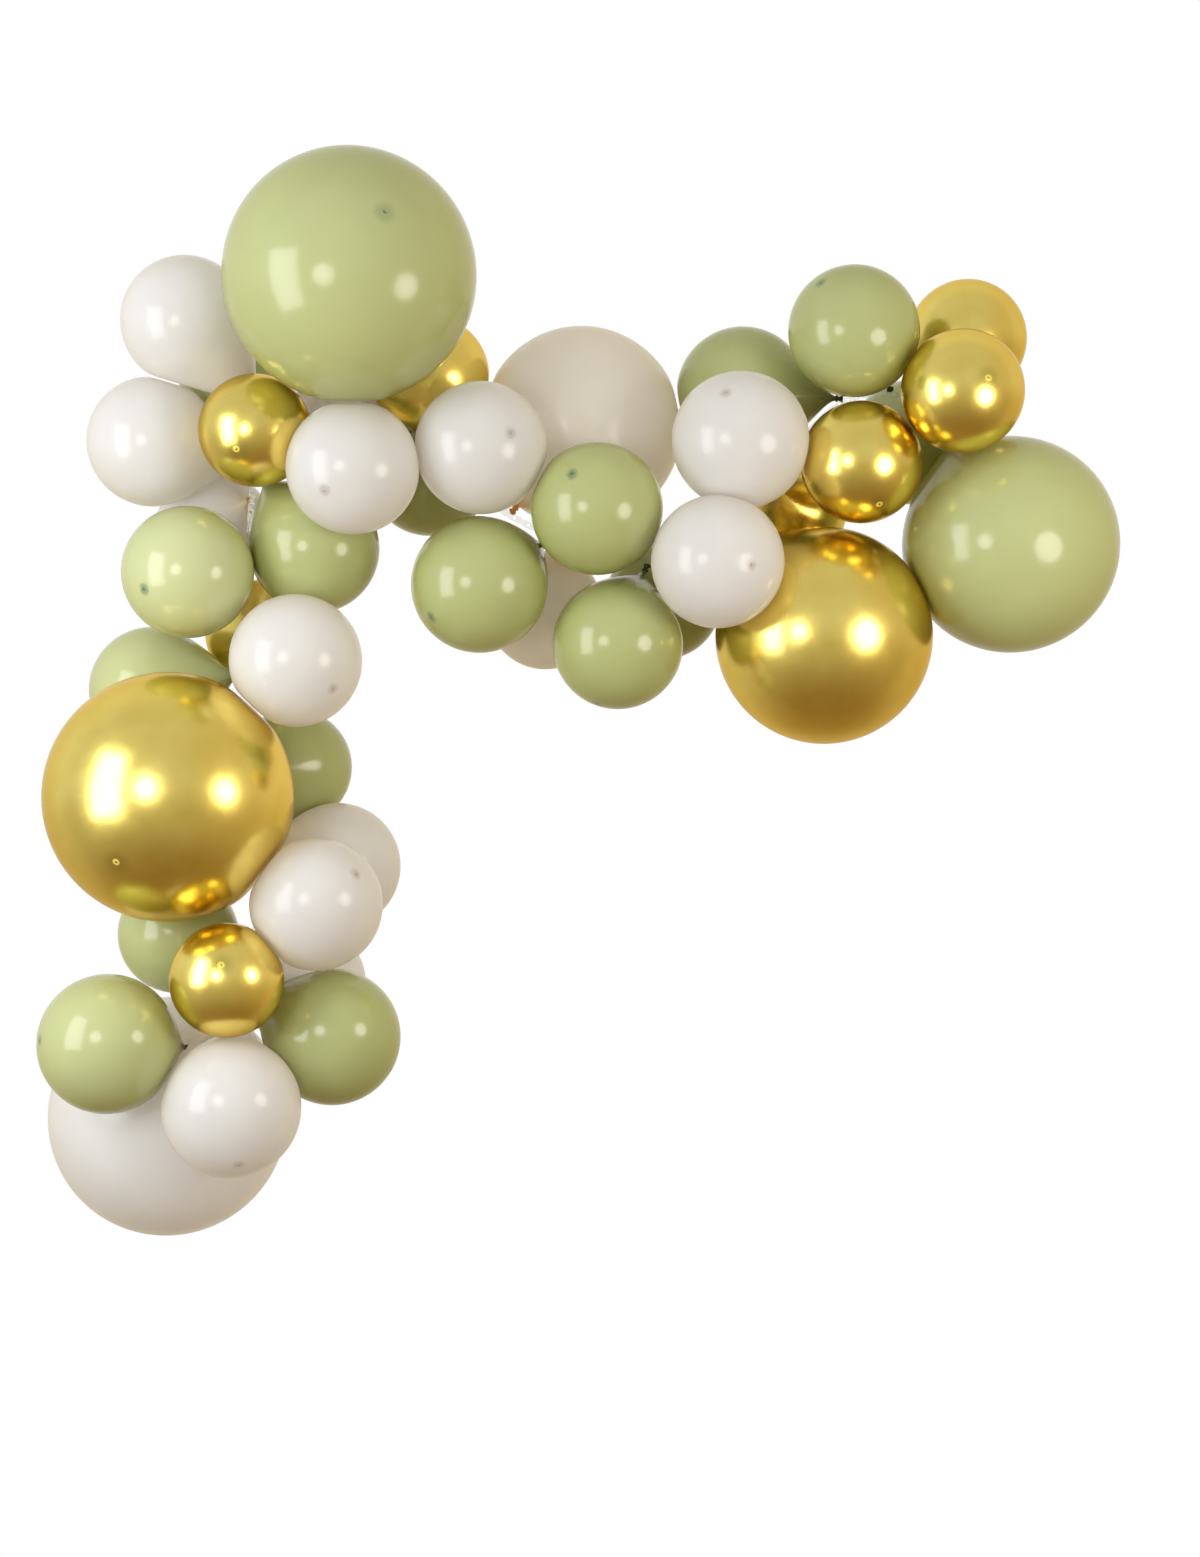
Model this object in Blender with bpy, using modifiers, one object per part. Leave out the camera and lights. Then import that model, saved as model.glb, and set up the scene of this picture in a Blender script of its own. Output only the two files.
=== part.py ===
"""A balloon garland for a wall: an upside-down L of latex balloons tied along a flat plastic strip.

Metres, +X to the right, +Y into the wall, +Z up. The origin is the corner hanging point, on the
back face of the strip. Each balloon is placed by where it is tied: the distance along the strip,
the direction in which it leans away from the strip, and the length of its neck.
"""

import itertools
from math import asin, cos, pi, radians, sin

import bmesh
import bpy
from mathutils import Vector
from mathutils.geometry import intersect_point_line

# Inflated diameters.
GIANT = 0.436
LARGE = 0.390
BROAD = 0.368
PLUMP = 0.242
MEDIUM = 0.232
SLIM = 0.216
SMALL = 0.198
LITTLE = 0.176

# Neck of a balloon: the knot, and the rolled lip behind it.
KNOT_RADIUS = 0.0045
LIP_RADIUS = 0.0070
LIP_LENGTH = 0.014
SHORTEST_NECK = 0.012

# The strip that carries the balloons.
STRIP_WIDTH = 0.012
STRIP_THICKNESS = 0.0006
LIP_TO_STRIP = 0.001

# Clearance between pieces that press on each other.
TOUCH_GAP = 0.0003

# How straight the shoulder leaves the round body and runs into the neck, as shares of its length.
LEAVES_BODY = 0.5
MEETS_NECK = 0.12

# Rings down the round body, rings down the shoulder and sides, of a small balloon and of a big one.
COARSE_FACETS = (5, 1, 12)
FINE_FACETS = (6, 2, 15)
BIG = 1.2 * PLUMP

# How far a neck is drawn in at a time, and how often at most where two lips meet.
NECK_STEP = 0.002
MOST_STEPS = 20

# Distances along the strip of the last tie and of the top balloon's tie near the right end. The large
# balloons press on each other, and the front gold one on the top one, so the space between the ties of
# each two goes with their size.
LAST_TIE = 2.645
LARGE_TIE_SPACE = 1.27 * LARGE
TOP_TIE = 2.540
SLIM_TIE_SPACE = 0.31 * SLIM

# Middle line of the strip, from the low end up to the corner and along to the right end.
STRIP_ROUTE = [
    (-0.160, -0.105, -1.175),
    (-0.108, -0.068, -1.107),
    (-0.079, -0.018, -0.990),
    (-0.050, 0.000, -0.828),
    (-0.050, 0.010, -0.702),
    (-0.095, 0.005, -0.486),
    (-0.083, 0.000, -0.198),
    (-0.065, 0.000, -0.085),
    (0.000, 0.000, 0.000),
    (0.101, 0.000, -0.007),
    (0.238, 0.000, -0.104),
    (0.378, 0.000, -0.224),
    (0.526, 0.000, -0.284),
    (0.670, 0.000, -0.306),
    (0.805, 0.000, -0.234),
    (0.922, 0.000, -0.072),
    (1.012, 0.000, -0.009),
    (1.111, 0.000, -0.018),
    (1.152, 0.000, -0.064),
]
FACES_PER_ROUTE_POINT = 3
INTO_WALL = Vector((0, 1, 0))

# Base colour (linear), roughness and metallic value of each finish.
FINISHES = {
    "green_latex": ((0.42, 0.51, 0.20), 0.28, 0.0),
    "white_latex": ((0.83, 0.81, 0.78), 0.30, 0.0),
    "cream_latex": ((0.72, 0.66, 0.57), 0.32, 0.0),
    "chrome_gold": ((0.60, 0.43, 0.10), 0.20, 1.0),
    "clear_plastic": ((0.80, 0.82, 0.80), 0.15, 0.0),
}

# Each balloon: place in the garland, finish, diameter, distance along the strip, bearing in the
# wall's plane (0 to the right, 90 up), lift towards the room, and how far the neck holds it off.
BALLOONS = [
    ("corner_giant", "green_latex", GIANT, 1.285, 63, 53, 0.075),
    ("upper_left", "white_latex", MEDIUM, 1.170, 129, 13, 0.115),
    ("middle_left", "white_latex", MEDIUM, 1.100, 171, 8, 0.070),
    ("corner_small", "chrome_gold", SMALL, 1.210, -117, 61, 0.045),
    ("corner_front", "white_latex", MEDIUM, 1.460, -128, 57, 0.105),
    ("span_start", "white_latex", MEDIUM, 1.565, 10, 65, 0.040),
    ("under_giant", "chrome_gold", SLIM, 1.365, 22, -30, 0.045),
    ("span_start_back", "green_latex", MEDIUM, 1.530, -130, -81, 0.065),
    ("inner_corner", "green_latex", MEDIUM, 1.085, -53, 12, 0.074),
    ("left", "green_latex", MEDIUM, 0.930, -155, 50, 0.040),
    ("left_back", "white_latex", SLIM, 1.030, -151, -51, 0.045),
    ("corner_back", "white_latex", LITTLE, 1.295, -75, -70, 0.045),
    ("corner_back", "green_latex", SMALL, 1.185, 150, -47, 0.050),
    ("leg_back", "chrome_gold", SMALL, 0.790, 39, -87, 0.050),
    ("leg_front", "white_latex", MEDIUM, 0.795, -31, 51, 0.083),
    ("leg_left", "green_latex", MEDIUM, 0.715, -171, -23, 0.085),
    ("leg_giant", "chrome_gold", GIANT, 0.640, -131, 40, 0.040),
    ("leg_right", "green_latex", SLIM, 0.535, 13, -79, 0.045),
    ("leg_right_back", "white_latex", MEDIUM, 0.440, -37, -33, 0.045),
    ("leg_right_front", "white_latex", MEDIUM, 0.235, 26, 46, 0.086),
    ("foot_back", "white_latex", MEDIUM, 0.205, -42, -56, 0.070),
    ("leg_low", "green_latex", SLIM, 0.220, 175, -27, 0.055),
    ("foot_small", "chrome_gold", SMALL, 0.105, 85, 71, 0.055),
    ("foot_left", "green_latex", PLUMP, 0.000, 174, 28, 0.050),
    ("foot_right", "green_latex", PLUMP, 0.135, -28, 3, 0.065),
    ("foot_front", "white_latex", PLUMP, 0.080, -83, 36, 0.069),
    ("foot_giant", "white_latex", GIANT, 0.055, -124, -41, 0.073),
    ("span_broad", "cream_latex", BROAD, 1.710, 53, -25, 0.052),
    ("span_front", "green_latex", MEDIUM, 1.940, 128, 55, 0.050),
    ("span_low_left", "green_latex", PLUMP, 1.800, -145, 27, 0.060),
    ("span_lowest", "green_latex", MEDIUM, 1.975, -110, 22, 0.060),
    ("span_back", "cream_latex", SLIM, 1.830, -112, -39, 0.055),
    ("span_upper_right", "white_latex", PLUMP, 2.210, 113, 51, 0.045),
    ("span_lower_right", "white_latex", MEDIUM, 2.010, -11, 64, 0.075),
    ("span_top_back", "green_latex", PLUMP, 2.460, 173, -25, 0.089),
    ("end_top", "green_latex", MEDIUM, TOP_TIE, 129, 38, 0.045),
    ("end_top_back", "chrome_gold", SLIM, 2.595, 55, -19, 0.055),
    ("end_front", "chrome_gold", SLIM, TOP_TIE + SLIM_TIE_SPACE, 14, 73, 0.051),
    ("end_middle", "chrome_gold", SLIM, 2.435, -73, 38, 0.040),
    ("end_large", "green_latex", LARGE, LAST_TIE, -58, -4, 0.055),
    ("end_large", "chrome_gold", LARGE, LAST_TIE - LARGE_TIE_SPACE, -51.5, 1, 0.056),
    ("end_middle_back", "chrome_gold", SMALL, 2.250, -34, -68, 0.050),
    ("end_back", "green_latex", MEDIUM, 2.622, -123, -82, 0.085),
    ("span_low_back", "green_latex", SLIM, 2.030, -110, -61, 0.045),
]


def smooth_route(points, steps):
    """Points of the smooth curve through these, with this many steps from each one to the next."""
    ends = [2 * points[0] - points[1], *points, 2 * points[-1] - points[-2]]
    route = []
    for before, here, there, after in zip(ends, ends[1:], ends[2:], ends[3:]):
        for step in range(steps):
            t = step / steps
            line = 2 * here + (there - before) * t
            bend = (2 * before - 5 * here + 4 * there - after) * t**2
            twist = (3 * here - before - 3 * there + after) * t**3
            route.append(0.5 * (line + bend + twist))
    return [*route, points[-1]]


def place_along(route, station):
    """The point at this distance along the route. Past its end, the last stretch goes straight on."""
    left = station
    for here, there in zip(route, route[1:]):
        stretch = (there - here).length
        if left <= stretch or there is route[-1]:
            return here + (there - here) * (left / stretch)
        left -= stretch


def strip_reach(route, station, lean):
    """How far the strip reaches this way from a tie, over twice the width of the lip that ends there."""
    tie = place_along(route, station)
    reach = 0
    for spot in (station - 2 * LIP_RADIUS, station, station + 2 * LIP_RADIUS):
        here = place_along(route, spot)
        along = place_along(route, spot + LIP_RADIUS) - here
        across = along.cross(INTO_WALL).normalized() * STRIP_WIDTH / 2
        for edge in (here + across - tie, here - across - tie):
            reach = max(reach, edge.dot(lean), (edge - INTO_WALL * STRIP_THICKNESS).dot(lean))
    return reach


def leaning(bearing, lift):
    across = cos(radians(lift))
    return Vector((across * cos(radians(bearing)), -sin(radians(lift)), across * sin(radians(bearing))))


class Balloon:
    """One balloon: its centre, the way its crown points, and the outline that is turned round it."""

    def __init__(self, route, place, finish, diameter, station, bearing, lift, neck):
        self.name = f"{finish.split('_')[0].replace('chrome', 'gold')}_balloon_{place}"
        self.finish = finish
        self.radius = diameter / 2
        self.body_rings, self.shoulder_rings, self.sides = FINE_FACETS if diameter > BIG else COARSE_FACETS
        self.body_angle = pi / 2 + asin(self.radius / (self.radius + neck))
        self.lean = leaning(bearing, lift)
        self.centre = place_along(route, station) + self.lean * (self.radius + neck)
        self.tip = self.radius + neck - strip_reach(route, station, self.lean) - LIP_TO_STRIP

    def axis_point(self, distance):
        """A point on the balloon's own axis, this far from its centre towards the knot."""
        return self.centre - self.lean * distance

    def facet_gain(self):
        """How much larger the corners of the facets are, so that the facets are as large as the round."""
        half_side = pi / self.sides
        half_ring = self.body_angle / self.body_rings / 2
        return 1 + (half_side**2 + half_ring**2) / 6

    def shoulder(self):
        """(radius, height) of the rings from the round body down to the knot, without either end."""
        full = self.radius * self.facet_gain()
        angle = self.body_angle
        start = Vector((full * sin(angle), full * cos(angle)))
        knot = Vector((KNOT_RADIUS, LIP_LENGTH - self.tip))
        run = (knot - start).length
        leave = start + Vector((cos(angle), -sin(angle))) * LEAVES_BODY * run
        arrive = knot + Vector((0, 1)) * MEETS_NECK * run
        rings = []
        for ring in range(1, self.shoulder_rings + 1):
            t = ring / (self.shoulder_rings + 1)
            s = 1 - t
            rings.append(start * s**3 + leave * 3 * s * s * t + arrive * 3 * s * t * t + knot * t**3)
        return rings

    def outline(self):
        """(radius, height) down one side: crown, round body, shoulder, knot and lip."""
        full = self.radius * self.facet_gain()
        angles = [self.body_angle * ring / self.body_rings for ring in range(self.body_rings + 1)]
        body = [(full * sin(angle), full * cos(angle)) for angle in angles]
        shoulder = [tuple(ring) for ring in self.shoulder()]
        knot = (KNOT_RADIUS, LIP_LENGTH - self.tip)
        lip = (LIP_RADIUS, -self.tip)
        return [*body, *shoulder, knot, lip, (0, -self.tip)]

    def bulges(self):
        """Balls that fill the balloon, (centre, radius): its body, and the largest at each shoulder ring."""
        balls = [(self.centre, self.radius * self.facet_gain())]
        for ring in self.shoulder():
            balls.append((self.axis_point(-ring.y), self.skin_distance(Vector((0, ring.y)))))
        return balls

    def skin_distance(self, spot):
        """How far a spot (radius, height) is from the outline."""
        outline = [Vector(ring) for ring in self.outline()]
        gaps = []
        for upper, lower in zip(outline, outline[1:]):
            share = intersect_point_line(spot, upper, lower)[1]
            gaps.append((upper.lerp(lower, min(max(share, 0), 1)) - spot).length)
        return min(gaps)


def clear_of(point, radius, balloon):
    """Whether a ball here stays clear of the balloon's skin."""
    away = point - balloon.centre
    height = away.dot(balloon.lean)
    spot = Vector(((away - balloon.lean * height).length, height))
    clearance = radius + TOUCH_GAP
    return away.length > balloon.radius + clearance and balloon.skin_distance(spot) > clearance


def draw_in_necks(balloons):
    """Each neck ends before it meets another balloon, or another neck tied beside it."""
    for balloon in balloons:
        others = [other for other in balloons if other is not balloon]
        shortest = balloon.radius + SHORTEST_NECK
        free = shortest
        while free < balloon.tip:
            ahead = balloon.axis_point(free + NECK_STEP)
            if not all(clear_of(ahead, LIP_RADIUS, other) for other in others):
                break
            free += NECK_STEP
        balloon.tip = min(free, balloon.tip)
    for one, other in itertools.combinations(balloons, 2):
        for _ in range(MOST_STEPS):
            apart = (one.axis_point(one.tip) - other.axis_point(other.tip)).length
            if apart > 2 * LIP_RADIUS + LIP_TO_STRIP:
                break
            one.tip -= NECK_STEP
            other.tip -= NECK_STEP


def contact_planes(balloons):
    """For each balloon, the planes (point, way out) where its neighbours press it flat."""
    planes = {balloon.name: [] for balloon in balloons}
    for one, other in itertools.combinations(balloons, 2):
        nearest = None
        for (start, near), (end, far) in itertools.product(one.bulges(), other.bulges()):
            between = end - start
            gap = between.length - near - far
            if nearest is None or gap < nearest[0]:
                nearest = (gap, start + between.normalized() * (near + gap / 2), between.normalized())
        gap, middle, way = nearest
        if gap < TOUCH_GAP:
            planes[one.name].append((middle - way * TOUCH_GAP / 2, way))
            planes[other.name].append((middle + way * TOUCH_GAP / 2, -way))
    return planes


def finish_material(name):
    colour, roughness, metallic = FINISHES[name]
    material = bpy.data.materials.get(name)
    if material is None:
        material = bpy.data.materials.new(name)
        material.use_nodes = True
        shader = material.node_tree.nodes["Principled BSDF"]
        shader.inputs["Base Color"].default_value = (*colour, 1)
        shader.inputs["Roughness"].default_value = roughness
        shader.inputs["Metallic"].default_value = metallic
        material.diffuse_color = (*colour, 1)
    return material


def turned_mesh(name, outline, sides):
    """A closed mesh turned from an outline that starts and ends on the axis."""
    drawing = bpy.data.meshes.new(name)
    points = [(radius, 0, height) for radius, height in outline]
    drawing.from_pydata(points, [(place, place + 1) for place in range(len(points) - 1)], [])
    draft = bpy.data.objects.new(name + "_outline", drawing)
    bpy.context.scene.collection.objects.link(draft)
    screw = draft.modifiers.new("turn", "SCREW")
    screw.steps = screw.render_steps = sides
    screw.use_merge_vertices = True
    screw.merge_threshold = 0.0001
    graph = bpy.context.evaluated_depsgraph_get()
    mesh = bpy.data.meshes.new_from_object(draft.evaluated_get(graph))
    bpy.data.objects.remove(draft)
    return mesh


def press_flat(mesh, planes):
    """Cuts the mesh at each plane and closes it there with a flat face."""
    work = bmesh.new()
    work.from_mesh(mesh)
    bmesh.ops.remove_doubles(work, verts=work.verts, dist=0.00001)
    for point, way in planes:
        every = [*work.verts, *work.edges, *work.faces]
        cut = bmesh.ops.bisect_plane(
            work, geom=every, dist=0.000001, plane_co=point, plane_no=way, clear_outer=True
        )
        rim = [item for item in cut["geom_cut"] if isinstance(item, bmesh.types.BMEdge)]
        if rim:
            bmesh.ops.edgeloop_fill(work, edges=rim)
    bmesh.ops.recalc_face_normals(work, faces=work.faces)
    work.to_mesh(mesh)
    work.free()


def add_object(name, mesh, finish, collection):
    mesh.name = name
    mesh.materials.clear()
    mesh.materials.append(finish_material(finish))
    piece = bpy.data.objects.new(name, mesh)
    collection.objects.link(piece)
    return piece


def make_balloon(balloon, planes, collection):
    mesh = turned_mesh(balloon.name, balloon.outline(), balloon.sides)
    turn = balloon.lean.to_track_quat("Z", "Y")
    back = turn.inverted()
    local = [(back @ (point - balloon.centre), back @ way) for point, way in planes]
    press_flat(mesh, local)
    mesh.shade_smooth()
    mesh.set_sharp_from_angle(angle=radians(50))
    piece = add_object(balloon.name, mesh, balloon.finish, collection)
    piece.rotation_mode = "QUATERNION"
    piece.rotation_quaternion = turn
    piece.location = balloon.centre


def make_strip(route, collection):
    """The flat strip: a row of faces laid along the route, then thickened towards the room."""
    count = len(route) - 1
    work = bmesh.new()
    bmesh.ops.create_grid(work, x_segments=count, y_segments=1, size=0.5)
    for vert in work.verts:
        spot = round((vert.co.x + 0.5) * count)
        along = route[min(spot + 1, count)] - route[max(spot - 1, 0)]
        side = INTO_WALL.cross(along).normalized() * STRIP_WIDTH / 2
        vert.co = route[spot] + (side if vert.co.y > 0 else -side)
    for face in work.faces:
        face.normal_update()
        if face.normal.dot(INTO_WALL) < 0:
            face.normal_flip()
    mesh = bpy.data.meshes.new("balloon_strip")
    work.to_mesh(mesh)
    work.free()
    piece = add_object("balloon_strip", mesh, "clear_plastic", collection)
    thick = piece.modifiers.new("thickness", "SOLIDIFY")
    thick.thickness = STRIP_THICKNESS
    thick.offset = -1


def main():
    for piece in list(bpy.data.objects):
        bpy.data.objects.remove(piece)
    collection = bpy.data.collections.new("balloon_arch")
    bpy.context.scene.collection.children.link(collection)
    points = [Vector(point) for point in STRIP_ROUTE]
    route = smooth_route(points, FACES_PER_ROUTE_POINT)
    balloons = [Balloon(route, *row) for row in BALLOONS]
    draw_in_necks(balloons)
    planes = contact_planes(balloons)
    for balloon in balloons:
        make_balloon(balloon, planes[balloon.name], collection)
    make_strip(route, collection)


main()
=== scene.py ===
"""Looks of the balloon garland: every balloon as a smooth latex skin, tied along a clear strip."""

import itertools
from math import asin, cos, exp, log1p, pi, radians, sin, sqrt

import bmesh
import bpy
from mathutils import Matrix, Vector
from mathutils.geometry import intersect_point_line


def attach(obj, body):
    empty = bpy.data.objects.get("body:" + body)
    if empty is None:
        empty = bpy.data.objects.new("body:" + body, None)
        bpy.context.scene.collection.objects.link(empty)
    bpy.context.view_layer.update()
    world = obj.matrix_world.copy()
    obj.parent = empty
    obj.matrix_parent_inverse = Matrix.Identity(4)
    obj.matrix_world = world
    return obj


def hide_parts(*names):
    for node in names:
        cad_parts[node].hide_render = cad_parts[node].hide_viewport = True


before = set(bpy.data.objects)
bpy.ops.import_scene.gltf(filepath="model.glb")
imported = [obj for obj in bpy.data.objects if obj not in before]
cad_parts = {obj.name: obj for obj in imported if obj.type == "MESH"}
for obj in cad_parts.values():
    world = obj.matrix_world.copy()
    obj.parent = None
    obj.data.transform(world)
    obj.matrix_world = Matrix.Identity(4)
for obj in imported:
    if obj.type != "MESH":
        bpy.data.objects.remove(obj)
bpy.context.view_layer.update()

# Inflated diameters.
GIANT = 0.436
LARGE = 0.390
BROAD = 0.368
PLUMP = 0.242
MEDIUM = 0.232
SLIM = 0.216
SMALL = 0.198
LITTLE = 0.176

# Neck of a balloon: the knot, and the rolled lip behind it.
KNOT_RADIUS = 0.0045
LIP_RADIUS = 0.0070
LIP_LENGTH = 0.014
SHORTEST_NECK = 0.012

# The strip that carries the balloons.
STRIP_WIDTH = 0.012
STRIP_THICKNESS = 0.0006
LIP_TO_STRIP = 0.001

# Clearance between pieces that press on each other.
TOUCH_GAP = 0.0003

# How straight the shoulder leaves the round body and runs into the neck, as shares of its length.
LEAVES_BODY = 0.5
MEETS_NECK = 0.12

# Steps in which the shoulder is gauged, for the balls that fill it and for how far off its skin is.
BALL_STEPS = 5
SKIN_STEPS = 6

# Rings down the round body, rings down the shoulder and sides, of a small balloon and of a big one. The
# body's rings lie closer near the crown, by this power of their even spacing.
COARSE_SKIN = (48, 18, 64)
FINE_SKIN = (72, 26, 96)
BIG = 1.2 * PLUMP
CLOSER_AT_CROWN = 1.15

# How far a neck is drawn in at a time, and how often at most where two lips meet.
NECK_STEP = 0.002
MOST_STEPS = 20

# Distances along the strip of the last tie and of the top balloon's tie near the right end. The large
# balloons press on each other, and the front gold one on the top one, so the space between the ties of
# each two goes with their size.
LAST_TIE = 2.645
LARGE_TIE_SPACE = 1.27 * LARGE
TOP_TIE = 2.540
SLIM_TIE_SPACE = 0.31 * SLIM

# Middle line of the strip, from the low end up to the corner and along to the right end.
STRIP_ROUTE = [
    (-0.160, -0.105, -1.175),
    (-0.108, -0.068, -1.107),
    (-0.079, -0.018, -0.990),
    (-0.050, 0.000, -0.828),
    (-0.050, 0.010, -0.702),
    (-0.095, 0.005, -0.486),
    (-0.083, 0.000, -0.198),
    (-0.065, 0.000, -0.085),
    (0.000, 0.000, 0.000),
    (0.101, 0.000, -0.007),
    (0.238, 0.000, -0.104),
    (0.378, 0.000, -0.224),
    (0.526, 0.000, -0.284),
    (0.670, 0.000, -0.306),
    (0.805, 0.000, -0.234),
    (0.922, 0.000, -0.072),
    (1.012, 0.000, -0.009),
    (1.111, 0.000, -0.018),
    (1.152, 0.000, -0.064),
]
FACES_PER_ROUTE_POINT = 3
INTO_WALL = Vector((0, 1, 0))

# Each balloon: place in the garland, finish, diameter, distance along the strip, bearing in the
# wall's plane (0 to the right, 90 up), lift towards the room, and how far the neck holds it off.
BALLOONS = [
    ("green_balloon_corner_giant", GIANT, 1.285, 63, 53, 0.075),
    ("white_balloon_upper_left", MEDIUM, 1.170, 129, 13, 0.115),
    ("white_balloon_middle_left", MEDIUM, 1.100, 171, 8, 0.070),
    ("gold_balloon_corner_small", SMALL, 1.210, -117, 61, 0.045),
    ("white_balloon_corner_front", MEDIUM, 1.460, -128, 57, 0.105),
    ("white_balloon_span_start", MEDIUM, 1.565, 10, 65, 0.040),
    ("gold_balloon_under_giant", SLIM, 1.365, 22, -30, 0.045),
    ("green_balloon_span_start_back", MEDIUM, 1.530, -130, -81, 0.065),
    ("green_balloon_inner_corner", MEDIUM, 1.085, -53, 12, 0.074),
    ("green_balloon_left", MEDIUM, 0.930, -155, 50, 0.040),
    ("white_balloon_left_back", SLIM, 1.030, -151, -51, 0.045),
    ("white_balloon_corner_back", LITTLE, 1.295, -75, -70, 0.045),
    ("green_balloon_corner_back", SMALL, 1.185, 150, -47, 0.050),
    ("gold_balloon_leg_back", SMALL, 0.790, 39, -87, 0.050),
    ("white_balloon_leg_front", MEDIUM, 0.795, -31, 51, 0.083),
    ("green_balloon_leg_left", MEDIUM, 0.715, -171, -23, 0.085),
    ("gold_balloon_leg_giant", GIANT, 0.640, -131, 40, 0.040),
    ("green_balloon_leg_right", SLIM, 0.535, 13, -79, 0.045),
    ("white_balloon_leg_right_back", MEDIUM, 0.440, -37, -33, 0.045),
    ("white_balloon_leg_right_front", MEDIUM, 0.235, 26, 46, 0.086),
    ("white_balloon_foot_back", MEDIUM, 0.205, -42, -56, 0.070),
    ("green_balloon_leg_low", SLIM, 0.220, 175, -27, 0.055),
    ("gold_balloon_foot_small", SMALL, 0.105, 85, 71, 0.055),
    ("green_balloon_foot_left", PLUMP, 0.000, 174, 28, 0.050),
    ("green_balloon_foot_right", PLUMP, 0.135, -28, 3, 0.065),
    ("white_balloon_foot_front", PLUMP, 0.080, -83, 36, 0.069),
    ("white_balloon_foot_giant", GIANT, 0.055, -124, -41, 0.073),
    ("cream_balloon_span_broad", BROAD, 1.710, 53, -25, 0.052),
    ("green_balloon_span_front", MEDIUM, 1.940, 128, 55, 0.050),
    ("green_balloon_span_low_left", PLUMP, 1.800, -145, 27, 0.060),
    ("green_balloon_span_lowest", MEDIUM, 1.975, -110, 22, 0.060),
    ("cream_balloon_span_back", SLIM, 1.830, -112, -39, 0.055),
    ("white_balloon_span_upper_right", PLUMP, 2.210, 113, 51, 0.045),
    ("white_balloon_span_lower_right", MEDIUM, 2.010, -11, 64, 0.075),
    ("green_balloon_span_top_back", PLUMP, 2.460, 173, -25, 0.089),
    ("green_balloon_end_top", MEDIUM, TOP_TIE, 129, 38, 0.045),
    ("gold_balloon_end_top_back", SLIM, 2.595, 55, -19, 0.055),
    ("gold_balloon_end_front", SLIM, TOP_TIE + SLIM_TIE_SPACE, 14, 73, 0.051),
    ("gold_balloon_end_middle", SLIM, 2.435, -73, 38, 0.040),
    ("green_balloon_end_large", LARGE, LAST_TIE, -58, -4, 0.055),
    ("gold_balloon_end_large", LARGE, LAST_TIE - LARGE_TIE_SPACE, -51.5, 1, 0.056),
    ("gold_balloon_end_middle_back", SMALL, 2.250, -34, -68, 0.050),
    ("green_balloon_end_back", MEDIUM, 2.622, -123, -82, 0.085),
    ("green_balloon_span_low_back", SLIM, 2.030, -110, -61, 0.045),
]

# Where the photograph shows the thick spots of the crowns, in its pixels. The others are straight
# across from the neck.
CROWN_SEEN = {
    "green_balloon_corner_giant": (384.6, 212),
    "white_balloon_span_start": (511, 433),
    "green_balloon_inner_corner": (362, 596),
    "green_balloon_left": (144, 589),
    "white_balloon_leg_front": (333, 689),
    "gold_balloon_leg_giant": (116, 862),
    "white_balloon_leg_right_front": (356, 874),
    "green_balloon_foot_right": (391, 1070),
    "white_balloon_foot_front": (238.5, 1165),
    "green_balloon_span_front": (572, 474),
    "green_balloon_span_low_left": (431, 617),
    "green_balloon_span_lowest": (597, 704),
    "white_balloon_span_lower_right": (751, 565),
    "green_balloon_end_top": (820.6, 282.5),
}

# The thick spot at the crown: how high it is raised, the distances from its middle between which that
# falls off, those between which its core and its whole colour fade, and how ragged they are. On a big
# balloon the colour is stretched wider and shows less, by these two shares.
CROWN_BUMP = 0.0006
CROWN_RAISED = (0.0005, 0.0045)
CROWN_CORE = (0.0008, 0.0036)
CROWN_SPOT = (0.004, 0.0145)
CROWN_RAGGED = 0.0025
BIG_CROWN = (1.75, 0.45)

# The pleats at the knot: their number and depth, and the shares of the way down the shoulder between
# which they grow. Past its end the share goes on in metres. There they fade, and the lip's waves grow.
PLEATS = 11
PLEAT_DEPTH = 0.05
PLEATS_GROW = (0.5, 0.95)
PLEATS_FADE = (1.003, 1.006)
LIP_FLUTTER = 0.0009
WAVES_GROW = (1.008, 1.013)

# The flats where balloons press on each other: the rounding of their edge, how many roundings away it
# begins, and how often a point is held back by all the planes.
PRESS_ROUNDING = 0.0022
PRESS_REACH = 12
PRESS_ROUNDS = 2

# Knot, flare, rolled rim and inside of the lip, each ring as (radius, distance past the shoulder's end).
TAIL = [
    (0.0042, 0.0008), (0.0056, 0.0020), (0.0063, 0.0034), (0.0058, 0.0048), (0.0044, 0.0060),
    (0.0040, 0.0070), (0.0048, 0.0090), (0.0060, 0.0112), (0.0066, 0.0126), (0.0070, 0.0134),
    (0.0071, 0.0138), (0.0068, 0.0140), (0.0062, 0.0138), (0.0056, 0.0130), (0.0044, 0.0112),
    (0.0034, 0.0096), (0.0020, 0.0090),
]

# Punched holes of the strip.
HOLES_PER_FACE = 2
HOLE_RADIUS = 0.0028
HOLE_SIDES = 16

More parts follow.
